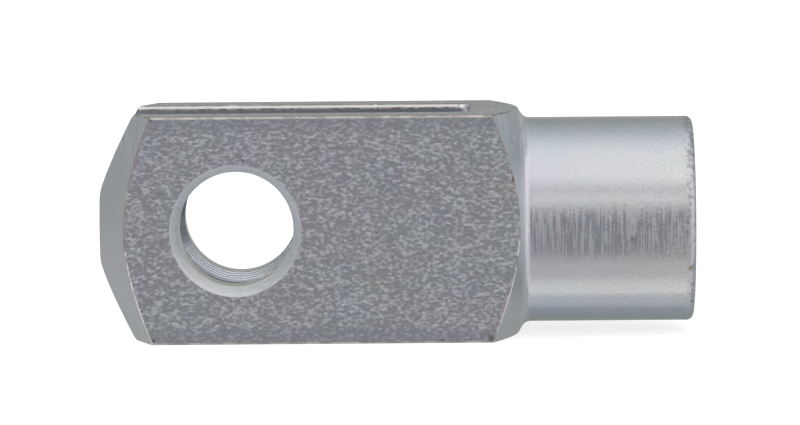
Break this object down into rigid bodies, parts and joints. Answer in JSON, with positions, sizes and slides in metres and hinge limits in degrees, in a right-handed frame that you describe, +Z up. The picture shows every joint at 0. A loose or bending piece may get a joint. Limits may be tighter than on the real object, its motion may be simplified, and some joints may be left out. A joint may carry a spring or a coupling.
{
  "type": "clevis rod end",
  "caption": "Steel fork head machined from square bar: slotted ears with a cross bore for a clevis pin, and a round neck bored for a threaded rod.",
  "frame": {"origin": "middle of the pin bore, on the rod's axis, halfway between the two ears", "axes": "+X along the rod's axis from the fork to the threaded neck; +Y along the pin's axis; +Z up, across the ears, so that the head lies on one slotted side of its bar"},
  "size_m": [0.052, 0.0198, 0.0198],
  "materials": {
    "zinc_plated_steel": "thin zinc plating over rough drawn bar faces and finely turned cones, neck and bores"
  },
  "bodies": {
    "root": {"fork_head": "zinc_plated_steel"}
  },
  "joints": []
}
